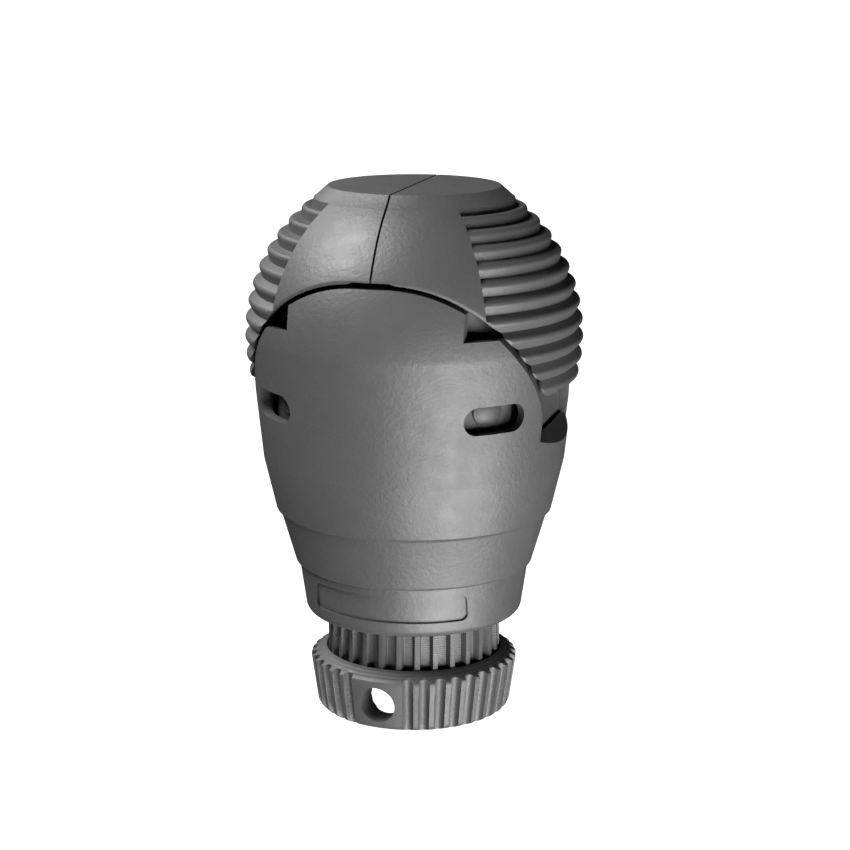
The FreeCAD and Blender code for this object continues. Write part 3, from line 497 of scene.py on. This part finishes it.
@dataclass
class Housing:
    """The tiered cup with its arch, ledges, windows, catch slots and blank recess."""

    arch: Arch
    sphere_height: float = 77.45
    radius: float = 33.04
    wall: float = 2.2
    top: float = 92.0
    shield_half: float = 17.3
    ledge_height: float = 81.3
    window_half: float = 12.0
    sill_inner: float = 27.7
    sill_height: float = 60.35
    sill_slope: float = 40.0
    slot_half: float = 6.7
    slot_round: float = 2.8
    slot_height: float = 65.8
    plate_half: float = 15.6
    plate_low: float = 23.5
    plate_high: float = 29.1
    plate_depth: float = 0.5
    plate_corner: float = 1.2
    base_height: float = 20.3
    floor_top: float = 22.5
    spigot_hole: float = 16.6
    window_inner: float = 24.2
    window_foot: float = 56.7
    pad_inner: float = 27.7
    pad_outer: float = 29.0
    pad_low: float = 54.7
    pad_high: float = 60.3
    pad_half: float = 9.0
    reach: float = 50.0
    overshoot: float = 5.0

    def tiers(self) -> Profile:
        """Outside of the cup, upwards, with the small rounds between its tiers."""
        return arc((20.15, 22.2), 1.9, 270, 355, 8) + [
            (23.3, 30.6), (23.55, 30.85), (24.05, 31.15), (24.15, 31.45),
            (26.95, 41.05), (27.15, 41.5), (27.88, 42.15), (27.98, 42.5),
            (30.33, 52.5), (30.38, 52.9), (33.0, 77.1),
        ]

    def profile(self) -> Profile:
        """The whole closed section.

        Returns:
            Its (radius, height) points.
        """
        outer_end = math.degrees(math.asin((self.top - self.sphere_height) / self.radius))
        inner = self.radius - self.wall
        inner_end = math.degrees(math.asin((self.top - self.sphere_height) / inner))
        centre = (0.0, self.sphere_height)
        return (
            [(self.spigot_hole, self.base_height)] + self.tiers()
            + arc(centre, self.radius, 0, outer_end, 20)
            + arc(centre, inner, inner_end, 0, 12)
            + [(28.15, 52.7), (25.68, 42.2), (21.85, 31.2), (20.15, self.floor_top),
               (self.spigot_hole, self.floor_top)]
        )

    def beyond(self) -> float:
        """A distance from the axis that is clear of the housing."""
        return self.radius + 2

    def sill(self, out: float) -> float:
        """Height of the sloped sill at a distance from the middle plane."""
        return self.sill_height - (out - self.sill_inner) * math.tan(math.radians(self.sill_slope))

    def through(self, name: str, side: int, loop: Loop) -> bpy.types.Object:
        """A cutter that runs through the housing from front to back.

        Args:
            name: The object's name.
            side: 1 for the +X side, -1 for the other.
            loop: Its (x, z) points on the +X side, in mm.

        Returns:
            The cutter.
        """
        return prism(name, [(side * x, z) for x, z in loop], -self.reach, self.reach)

    def above_arch(self, side: int) -> bpy.types.Object:
        """Everything outside the arch on one side, down to the sloped sill.

        Args:
            side: 1 for the +X side, -1 for the other.

        Returns:
            The cutter.
        """
        foot = self.arch.flat_half + self.arch.round
        beyond = self.beyond()
        over = self.top + self.overshoot
        loop = self.arch.edge(0.0) + [
            (foot, self.sill(foot)), (beyond, self.sill(beyond)), (beyond, over),
            (-1.0, over), (-1.0, self.arch.centre_height + self.arch.round),
        ]
        return self.through("above_arch", side, loop)

    def ledge(self, side: int) -> bpy.types.Object:
        """The open corner beside the shield.

        Args:
            side: 1 for the +X side, -1 for the other.

        Returns:
            The cutter.
        """
        beyond = self.beyond()
        over = self.top + self.overshoot
        loop = [(self.shield_half, self.ledge_height), (beyond, self.ledge_height),
                (beyond, over), (self.shield_half, over)]
        return self.through("ledge", side, loop)

    def window(self, side: int) -> bpy.types.Object:
        """The opening for the cover's leg.

        Args:
            side: 1 for the +X side, -1 for the other.

        Returns:
            The cutter.
        """
        beyond = self.beyond()
        over = self.top + self.overshoot
        loop = [(self.window_inner, self.window_foot), (self.sill_inner, self.window_foot),
                (self.sill_inner, self.sill_height), (beyond, self.sill(beyond)),
                (beyond, over), (self.window_inner, over)]
        across = [(side * x, z) for x, z in loop]
        return prism("window", across, -self.window_half, self.window_half)

    def slot(self, azimuth: float) -> bpy.types.Object:
        """A bar that cuts two opposite oval slots.

        Args:
            azimuth: Degrees from the front, towards +X.

        Returns:
            The cutter.
        """
        reach = self.slot_half - self.slot_round
        loop = (arc((reach, self.slot_height), self.slot_round, -90, 90, 16)
                + arc((-reach, self.slot_height), self.slot_round, 90, 270, 16))
        bar = prism("slot", loop, -self.reach, self.reach)
        bar.data.transform(Matrix.Rotation(math.radians(azimuth), 4, "Z"))
        return bar

    def recess(self) -> bpy.types.Object:
        """The shallow rounded recess on the front, left blank.

        Returns:
            The cutter.
        """
        half, corner = self.plate_half, self.plate_corner
        low, high = self.plate_low, self.plate_high
        loop = (arc((half - corner, low + corner), corner, 270, 360, 5)
                + arc((half - corner, high - corner), corner, 0, 90, 5)
                + arc((corner - half, high - corner), corner, 90, 180, 5)
                + arc((corner - half, low + corner), corner, 180, 270, 5))
        block = prism("recess", loop, -40, -10)
        step = (23.3 - 22.05) / (30.6 - 22.0)
        core = turned("core", [
            (0.5, 20.0), (22.05 - self.plate_depth - 2 * step, 20.0),
            (23.3 - self.plate_depth + 1.4 * step, 32.0), (0.5, 32.0),
        ])
        return carve(block, [core])

    def sill_pad(self, side: int) -> bpy.types.Object:
        """The thicker wall below the window.

        Args:
            side: 1 for the +X side, -1 for the other.

        Returns:
            The block that is joined to the wall.
        """
        loop = [(self.pad_inner, self.pad_low), (self.pad_outer, self.pad_low),
                (self.pad_outer, self.pad_high), (self.pad_inner, self.pad_high)]
        return prism("sill_pad", [(side * x, z) for x, z in loop], -self.pad_half, self.pad_half)

    def build(self) -> bpy.types.Object:
        """Makes the housing piece.

        Returns:
            The piece.
        """
        cup = turned("housing_shell", self.profile(), 360)
        carve(cup, [self.sill_pad(side) for side in (1, -1)], "UNION")
        carve(cup, [
            tool for side in (1, -1)
            for tool in (self.above_arch(side), self.ledge(side), self.window(side))
        ])
        carve(cup, [self.slot(45), self.slot(-45), self.recess()])
        return finish_piece(cup, HOUSING_NYLON, "housing", ["lower_housing"],
                            sharp=24)


# ------------------------------------------------------------------ covers

@dataclass
class Cover:
    """One ribbed half cover, with its leg and hinge barrel."""

    arch: Arch
    side: int
    body: str
    node: str
    sphere_height: float = 77.45
    radius: float = 33.73
    wall: float = 2.4
    crown_height: float = 107.04
    crown_radius: float = 17.2
    foot_height: float = 66.3
    split_gap: float = 0.22
    rim_latitude: float = 54.05
    rib_second: float = 49.4
    rib_pitch: float = 6.21
    rib_count: int = 11
    rib_round: float = 1.0
    rib_land: float = 1.3
    rib_depth: float = 1.22
    rib_start: float = 40.0
    arch_gap: float = 0.9
    side_gap: float = 0.35
    edge_round: float = 0.9
    pry_slot_half: float = 3.5
    pry_slot_rise: float = 0.35
    leg_inner: float = 25.2
    leg_face: float = 27.4
    leg_foot: float = 61.1
    leg_half: float = 8.5
    face_half: float = 11.0
    web_low: float = 68.4
    web_high: float = 70.8
    web_reach: float = 31.4
    hinge_offset: float = 24.2
    hinge_height: float = 62.6
    hinge_barrel: float = 1.8
    reach: float = 50.0
    cut_foot: float = 55.0
    cut_top: float = 120.0

    def spot(self, radius: float, latitude: float) -> tuple[float, float]:
        """Radius from the axis and height of a point, from its place on the sphere."""
        angle = math.radians(latitude)
        return radius * math.cos(angle), self.sphere_height + radius * math.sin(angle)

    def ribbed(self) -> list[tuple[float, float]]:
        """The line of the ribs, from the rim down to the foot.

        Returns:
            Points as (distance from the sphere's centre in mm, latitude in degrees).
        """
        middle = (self.rim_latitude + self.rib_second) / 2
        valley = self.radius - self.rib_depth
        points = [(self.radius - 0.05, self.rim_latitude + 0.4),
                  (self.radius - 0.03, self.rim_latitude - 0.2),
                  (self.radius - 0.35, self.rim_latitude - 0.9), (valley, middle)]
        for number in range(self.rib_count):
            crest = self.rib_second - self.rib_pitch * number
            for step in range(-3, 4):
                off = step * self.rib_land / 3
                across = self.radius * math.sin(math.radians(off))
                fall = self.rib_round - math.sqrt(self.rib_round ** 2 - across ** 2)
                points.append((self.radius - fall, crest - off))
            if number < self.rib_count - 1:
                points += [(valley + 0.06, crest - self.rib_pitch / 2 + 0.15),
                           (valley, crest - self.rib_pitch / 2),
                           (valley + 0.06, crest - self.rib_pitch / 2 - 0.15)]
        crest = self.rib_second - self.rib_pitch * (self.rib_count - 1)
        for step in range(1, 6):
            off = self.rib_land + step
            points.append((self.radius - 0.35 - 0.28 * step - 0.035 * step * step, crest - off))
        return points

    def sections(self) -> tuple[Profile, Profile]:
        """The closed sections of the dome.

        Returns:
            The section through the smooth panels, and the one through the ribs.
        """
        inner = self.radius - self.wall
        ceiling = self.crown_height - self.wall
        lean = math.degrees(math.asin((ceiling - self.sphere_height) / inner))
        foot = math.degrees(math.asin((self.foot_height - self.sphere_height) / inner))
        top: Profile = [(0.0, self.crown_height), (self.crown_radius - 0.25, self.crown_height),
                        (self.crown_radius - 0.05, self.crown_height - 0.03),
                        (self.crown_radius + 0.1, self.crown_height - 0.15)]
        inside = arc((0, self.sphere_height), inner, foot, lean, 30) + [(0.0, ceiling)]
        line = self.ribbed()
        smooth = [self.spot(self.radius, latitude) for _, latitude in line]
        ribs = [self.spot(distance, latitude) for distance, latitude in line]
        smooth[0] = ribs[0]
        return top + smooth + inside, top + ribs + inside

    def azimuths(self) -> list[float]:
        """Where the dome has its sections; a short step marks each end of the ribs.

        Returns:
            Degrees from the front, from 0 to 180.
        """
        edge = 0.12
        smooth = [turn * 2.0 for turn in range(20)] + [self.rib_start - edge]
        ribbed = [self.rib_start + edge] + [self.rib_start + 1 + turn for turn in range(99)]
        ribbed += [180 - self.rib_start - edge]
        return smooth + ribbed + [180 - azimuth for azimuth in reversed(smooth)]

    def shell(self) -> bpy.types.Object:
        """The half dome, ribbed on its side and smooth at front and back."""
        smooth, ribs = self.sections()
        return lathe(
            "dome", self.azimuths(),
            lambda azimuth: ribs if self.rib_start < azimuth < 180 - self.rib_start else smooth,
            closed=False)

    def edge_cutters(self) -> list[bpy.types.Object]:
        """Cutters that round the edge over the arch.

        Returns:
            One for the front and one for the back.
        """
        radius = self.arch.round + self.arch_gap
        cutters = []
        for face in (-1, 1):
            path, over, out = [], [], []
            for step in range(61):
                angle = math.radians(102 - 97 * step / 60)
                x = self.arch.flat_half + radius * math.cos(angle)
                z = self.arch.centre_height + radius * math.sin(angle)
                high = z - self.sphere_height
                y = face * math.sqrt(self.radius ** 2 - x ** 2 - high ** 2)
                away = Vector((x, y, high)).normalized()
                along = Vector((math.cos(angle), 0, math.sin(angle)))
                along = (along - away * along.dot(away)).normalized()
                path.append(Vector((x, y, z)))
                over.append(along)
                out.append(away)
            cutters.append(swept_wedge("edge_round", path, over, out, self.edge_round))
        return cutters

    def below_arch(self) -> bpy.types.Object:
        """What the arch, its gap and the pry slot take from the dome.

        Returns:
            The cutter.
        """
        radius = self.arch.round + self.arch_gap
        top = self.arch.centre_height + radius
        foot = self.arch.flat_half + self.arch.round + self.side_gap
        centre = (self.arch.flat_half, self.arch.centre_height)
        curve = [point for point in arc(centre, radius, 86, 5, 36) if point[0] < foot]
        slot_top = top + self.pry_slot_rise
        loop = [(-2.0, self.cut_foot), (-2.0, slot_top), (self.pry_slot_half, slot_top),
                (self.pry_slot_half + 1, top - 0.02)] + curve + [
            (foot, self.arch.centre_height + 3), (foot, self.cut_foot)]
        return prism("below_arch", loop, -self.reach, self.reach)

    def leg(self) -> list[bpy.types.Object]:
        """The leg with its web, and the hinge barrel.

        Returns:
            The solids that are joined to the dome.
        """
        web = [(self.leg_inner, self.leg_foot), (self.leg_face, self.leg_foot),
               (self.leg_face, self.web_low), (self.web_reach, self.web_low),
               (self.web_reach, self.web_high), (self.leg_inner, self.web_high)]
        wide = [(self.leg_inner, self.leg_foot), (self.leg_face, self.leg_foot),
                (self.leg_face, self.web_high), (self.leg_inner, self.web_high)]
        round_bar = arc((self.hinge_offset, self.hinge_height), self.hinge_barrel, 0, 345, 23)
        return [prism("leg", web, -self.leg_half, self.leg_half),
                prism("leg_face", wide, -self.face_half, self.face_half),
                prism("barrel", round_bar, -self.face_half, self.face_half)]

    def build(self) -> bpy.types.Object:
        """Makes the cover piece.

        Returns:
            The piece.
        """
        dome = self.shell()
        split = prism("split", [
            (-2.0, self.cut_foot), (self.split_gap, self.cut_foot),
            (self.split_gap, self.cut_top), (-2.0, self.cut_top),
        ], -self.reach, self.reach)
        carve(dome, [split, self.below_arch()] + self.edge_cutters())
        carve(dome, self.leg(), "UNION")
        if self.side < 0:
            dome.data.transform(Matrix.Rotation(math.pi, 4, "Z"))
        dome.name = self.node.replace("half_shell", "ribbed_cover")
        return finish_piece(dome, COVER_NYLON, self.body, [self.node], sharp=24)


# ------------------------------------------------------------------ union nut and neck

@dataclass
class UnionNut:
    """The knurled nut with its boss, cross hole and internal thread."""

    teeth: int = 40
    gaps: int = 37
    turn: float = -5.5
    thread_radius: float = 14.19
    thread_depth: float = 0.3
    thread_pitch: float = 1.5
    gap_round: float = 1.05
    gap_depth: float = 1.3
    hole_radius: float = 3.72
    hole_height: float = 5.5
    steps: int = 1200
    thread_top: float = 8.4
    thread_step: float = 0.21
    thread_points: int = 40
    thread_fade: float = 0.8
    wall_radius: float = 19.98
    wall_height: float = 2.4
    wall_lean: float = 0.1455
    face_radius: float = 18.15
    foot_round: float = 1.75
    bore: float = 17.85
    lip: float = 9.5
    flange_bore: float = 19.1
    shoulder: float = 8.6

    def scallop(self, azimuth: float, radius: float) -> float:
        """How deep the knurl is.

        Args:
            azimuth: Degrees from the front, towards +X.
            radius: Distance from the axis, in mm.

        Returns:
            The depth in mm.
        """
        pitch = 360 / self.teeth
        from_boss = (azimuth - self.turn) % 360
        first = pitch * (self.teeth - self.gaps + 1) / 2
        number = round((from_boss - first) / pitch)
        if not 0 <= number < self.gaps:
            return 0.0
        off = math.radians(from_boss - first - number * pitch) * radius
        if abs(off) >= self.gap_round:
            return 0.0
        rise = math.sqrt(self.gap_round ** 2 - off ** 2)
        return max(self.gap_depth - self.gap_round + rise, 0.0)

    def build(self) -> bpy.types.Object:
        """Makes the nut piece.

        Returns:
            The piece.
        """
        thread = [(self.thread_radius, self.thread_top - self.thread_step * number)
                  for number in range(self.thread_points)]
        outer = arc((self.face_radius, self.foot_round), self.foot_round, 270, 345, 8) + [
            (self.wall_radius, self.wall_height), (20.4, 5.2), (20.8, 8.0), (21.07, 10.0),
            (21.08, 10.35), (20.95, 10.62), (20.6, 10.86), (20.2, 11.08), (19.8, 11.3),
            (19.4, 11.52), (19.0, 11.74), (18.6, 11.97)]
        profile = thread + [(self.thread_radius + 0.5, 0.0)] + outer + [
            (18.2, 12.16), (17.98, 12.26), (self.bore, 12.15), (self.bore, self.lip),
            (self.flange_bore, self.lip), (self.flange_bore, self.shoulder),
            (self.thread_radius + 0.4, self.shoulder)]
        first = len(thread) + 1
        last = first + len(outer)

        def section_at(azimuth: float) -> Profile:
            """Adds the knurl outside and the thread inside.

            Args:
                azimuth: Degrees from the front, towards +X.

            Returns:
                The closed section there.
            """
            section = []
            for index, (radius, height) in enumerate(profile):
                if index < len(thread):
                    fade = min(1.0, (self.thread_top - height) / self.thread_fade,
                               height / self.thread_fade)
                    phase = (height / self.thread_pitch + azimuth / 360) % 1.0
                    radius += self.thread_depth * max(fade, 0.0) * (1 - abs(2 * phase - 1))
                elif first <= index < last:
                    wall = self.wall_radius + self.wall_lean * (height - self.wall_height)
                    radius = min(radius, wall - self.scallop(azimuth, radius))
                section.append((radius, height))
            return section

        azimuths = [turn * 360 / self.steps for turn in range(self.steps)]
        nut = lathe("knurled_union_nut", azimuths, section_at)
        hole = prism("hole", arc((0, self.hole_height), self.hole_radius, 0, 354, 59), -30, -5)
        hole.data.transform(Matrix.Rotation(math.radians(self.turn), 4, "Z"))
        carve(nut, [hole])
        return finish_piece(nut, TURNED_NYLON, "union_nut", ["union_nut"], sharp=38)


@dataclass
class Neck:
    """The ribbed neck above the nut."""

    ribs: int = 30
    root: float = 16.2
    crest: float = 17.6
    rib_width: float = 1.38
    corner: float = 0.22
    steps: int = 900
    foot: float = 8.7
    bush_bore: float = 5.05
    flange: float = 18.85
    flange_top: float = 9.4
    floor_top: float = 12.0
    band_low: float = 19.4
    shoulder: float = 16.95
    base_height: float = 20.3
    spigot: float = 16.5
    spigot_top: float = 22.5
    bore: float = 12.0
    ribbed: tuple[int, int] = (6, 9)

    def rib(self, azimuth: float) -> float:
        """Height of the ribs over the root.

        Args:
            azimuth: Degrees from the front, towards +X.

        Returns:
            The height in mm.
        """
        pitch = 360 / self.ribs
        off = abs((azimuth - 90 + pitch / 2) % pitch - pitch / 2)
        across = math.radians(off) * self.crest
        edge = self.rib_width / 2
        if across > edge + self.corner:
            return 0.0
        if across < edge - self.corner:
            return self.crest - self.root
        share = (edge + self.corner - across) / (2 * self.corner)
        return (self.crest - self.root) * share * share * (3 - 2 * share)

    def build(self) -> bpy.types.Object:
        """Makes the neck piece.

        Returns:
            The piece.
        """
        profile = [
            (self.bush_bore, self.foot), (18.7, self.foot), (self.flange, 8.85), (self.flange, 9.3),
            (18.7, self.flange_top), (self.root, self.flange_top),
            (self.root, 9.5), (self.root, 12.0), (self.root, 16.0), (self.root, 19.35),
            (self.root, self.band_low), (self.shoulder, self.band_low),
            (self.shoulder, self.base_height), (self.spigot, self.base_height),
            (self.spigot, self.spigot_top), (self.bore, self.spigot_top),
            (self.bore, self.floor_top), (self.bush_bore, self.floor_top)]

        def section_at(azimuth: float) -> Profile:
            """Adds the ribs between the flange and the band under the housing.

            Args:
                azimuth: Degrees from the front, towards +X.

            Returns:
                The closed section there.
            """
            rib = self.rib(azimuth)
            first, last = self.ribbed
            return [(radius + (rib if first <= index <= last else 0.0), height)
                    for index, (radius, height) in enumerate(profile)]

        azimuths = [turn * 360 / self.steps for turn in range(self.steps)]
        neck = lathe("ribbed_neck", azimuths, section_at)
        return finish_piece(neck, TURNED_NYLON, "housing", ["neck_collar"], sharp=50)


@dataclass
class CatchStuds:
    """The domed studs behind the oval slots."""

    height: float = 66.9
    seat: float = 28.2
    head: float = 3.1
    rim: float = 0.4
    crown: float = 0.8
    foot: float = 26.2
    shank: float = 1.45

    def build(self) -> bpy.types.Object:
        """Makes the four studs as one piece.

        Returns:
            The piece.
        """
        ball = (self.head ** 2 + self.crown ** 2) / (2 * self.crown)
        lean = math.degrees(math.asin(self.head / ball))
        profile = [(0.0, self.foot), (self.shank, self.foot), (self.shank, self.seat),
                   (self.head - 0.1, self.seat), (self.head, self.seat + 0.1)]
        profile += arc((0, self.seat + self.rim + self.crown - ball), ball, 90 - lean, 90, 10)
        studs = []
        for azimuth in (45, 135, 225, 315):
            stud = turned("stud", profile, 60)
            stud.data.transform(
                Matrix.Translation((0, 0, self.height * MM))
                @ Matrix.Rotation(math.radians(azimuth), 4, "Z")
                @ Matrix.Rotation(math.radians(90), 4, "Y"))
            studs.append(stud)
        carve(studs[0], studs[1:], "UNION")
        studs[0].name = "domed_catch_studs"
        return finish_piece(studs[0], FRAME_NYLON, "housing", ["snap_studs"],
                            sharp=40)


# ------------------------------------------------------------------ the CAD nodes that stay

NODE_FINISHES: dict[str, Finish] = {
    "inner_chassis": FRAME_NYLON, "chassis_posts": FRAME_NYLON, "base_plate": FRAME_NYLON,
    "battery_tray": FRAME_NYLON, "board_pegs": FRAME_NYLON, "motor_end_cap": FRAME_NYLON,
    "hinge_pin_right": GROUND_STEEL, "hinge_pin_left": GROUND_STEEL, "bearing_plate": GROUND_STEEL,
    "lower_gear_axle": GROUND_STEEL, "upper_gear_axle": GROUND_STEEL,
    "gearbox_screws": GROUND_STEEL, "neck_screws": GROUND_STEEL, "motor_rotor": GROUND_STEEL,
    "motor_can": DRAWN_CAN,
    "plate_spacers": TURNED_BRASS, "thrust_washer": TURNED_BRASS, "motor_pinion": TURNED_BRASS,
    "push_spindle": TURNED_BRASS, "drive_gear": ACETAL, "lower_stage_gear": ACETAL,
    "upper_stage_gear": ACETAL, "guide_bush": ACETAL, "motor_magnets": FERRITE,
    "battery_contacts": NICKEL, "battery_right": CELL_SLEEVE, "battery_left": CELL_SLEEVE,
    "circuit_board": SOLDER_MASK, "board_components": CHIP_EPOXY,
}


def dress_nodes() -> None:
    """Gives every CAD node that stays its material."""
    for name, finish in NODE_FINISHES.items():
        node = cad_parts[name]
        node.data.materials.clear()
        node.data.materials.append(finish.material())
        LOG.info("%s: %s", name, finish.name)


# ------------------------------------------------------------------ studio

@dataclass
class Studio:
    """Pale floor and backdrop, soft lights, and the camera; sizes in mm, angles in degrees."""

    azimuth: float = 15.8
    distance: float = 439.0
    height: float = 161.4
    pitch: float = 13.212
    yaw: float = 0.277
    roll: float = 0.1
    lens: float = 94.57
    floor_drop: float = 420.0
    floor_reach: float = 3000.0
    floor_bend: float = 1200.0
    wall_rise: float = 4000.0
    paper_glow: float = 1.3
    sky_glow: float = 0.01
    middle: float = 60.0
    light_distance: float = 600.0

    def camera(self) -> None:
        """Adds the camera."""
        data = bpy.data.cameras.new("camera")
        data.lens = self.lens
        data.sensor_width = 36.0
        data.clip_start = 0.01
        piece = bpy.data.objects.new("camera", data)
        bpy.context.scene.collection.objects.link(piece)
        turn = math.radians(self.azimuth)
        piece.location = (self.distance * MM * math.sin(turn), -self.distance * MM * math.cos(turn),
                          self.height * MM)
        aim = Matrix.Rotation(turn, 4, "Z") @ Matrix.Rotation(math.radians(90 - self.pitch), 4, "X")
        aim = aim @ Matrix.Rotation(math.radians(-self.yaw), 4, "Y") @ Matrix.Rotation(
            math.radians(self.roll), 4, "Z")
        piece.rotation_euler = aim.to_euler()
        bpy.context.scene.camera = piece

    def softbox(self, name: str, azimuth: float, elevation: float, size: float,
                power: float) -> None:
        """A square area light aimed at the head's middle.

        Args:
            name: The light's name.
            azimuth: Degrees from the front, towards +X.
            elevation: Degrees above level.
            size: The square's side, in mm.
            power: Watts.
        """
        data = bpy.data.lights.new(name, "AREA")
        data.size = size * MM
        data.energy = power
        piece = bpy.data.objects.new(name, data)
        bpy.context.scene.collection.objects.link(piece)
        turn, rise = math.radians(azimuth), math.radians(elevation)
        middle = Vector((0, 0, self.middle * MM))
        piece.location = middle + self.light_distance * MM * Vector((
            math.sin(turn) * math.cos(rise), -math.cos(turn) * math.cos(rise), math.sin(rise)))
        piece.rotation_euler = (middle - piece.location).to_track_quat("-Z", "Y").to_euler()
        piece.visible_camera = False

    def backdrop(self) -> None:
        """A pale floor that sweeps up all round the head, self-lit so that it stays even."""
        build = bmesh.new()
        reach, bend = self.floor_reach * MM, self.floor_bend * MM
        floor = -self.floor_drop * MM
        section = [(reach, floor)]
        section += [(reach + bend * math.sin(math.radians(angle)),
                     floor + bend * (1 - math.cos(math.radians(angle))))
                    for angle in range(10, 91, 10)]
        section.append((reach + bend, floor + self.wall_rise * MM))
        turns = [math.radians(7.5 * step) for step in range(48)]
        rings = [[build.verts.new((far * math.cos(turn), far * math.sin(turn), height))
                  for turn in turns] for far, height in section]
        build.faces.new(rings[0])
        for low, high in zip(rings, rings[1:]):
            for index in range(len(turns)):
                build.faces.new((low[index - 1], low[index], high[index], high[index - 1]))
        floor_piece = new_piece("floor", build)
        floor_piece.data.shade_smooth()
        # Matt seamless paper, lit from behind: an even white with no shade on it.
        paper = bpy.data.materials.new("seamless_paper")
        paper.use_nodes = True
        shader = paper.node_tree.nodes["Principled BSDF"]
        shader.inputs["Base Color"].default_value = linear("F4F4F4")
        shader.inputs["Roughness"].default_value = 0.9
        shader.inputs["Emission Color"].default_value = linear("FFFFFF")
        shader.inputs["Emission Strength"].default_value = self.paper_glow
        floor_piece.data.materials.append(paper)
        floor_piece.visible_diffuse = False
        floor_piece.visible_glossy = False
        floor_piece.visible_shadow = False

    def world(self) -> None:
        """A dim even sky, so that upward faces stay dark."""
        world = bpy.data.worlds.new("studio")
        world.use_nodes = True
        sky = world.node_tree.nodes["Background"]
        sky.inputs["Color"].default_value = linear("FFFFFF")
        sky.inputs["Strength"].default_value = self.sky_glow
        bpy.context.scene.world = world
        bpy.context.scene.view_settings.view_transform = "Standard"

    def build(self) -> None:
        """Sets up everything round the head; the lower lights shine up at it from below the head.
        """
        self.backdrop()
        self.world()
        self.softbox("upper_left", -62, 53, 360, 7.6)
        self.softbox("low_front", 30, -32, 400, 4.6)
        self.softbox("low_right", 62, -30, 460, 5.6)
        self.softbox("left_back", -120, 38, 330, 1.0)
        self.camera()


def main() -> None:
    """Builds every sub-assembly in order."""
    logging.basicConfig(level=logging.INFO, format="%(name)s %(message)s")
    arch = Arch()
    Studio().build()
    Housing(arch).build()
    Cover(arch, 1, "right_cover", "half_shell_right").build()
    Cover(arch, -1, "left_cover", "half_shell_left").build()
    UnionNut().build()
    Neck().build()
    CatchStuds().build()
    dress_nodes()


if __name__ == "__main__":
    main()
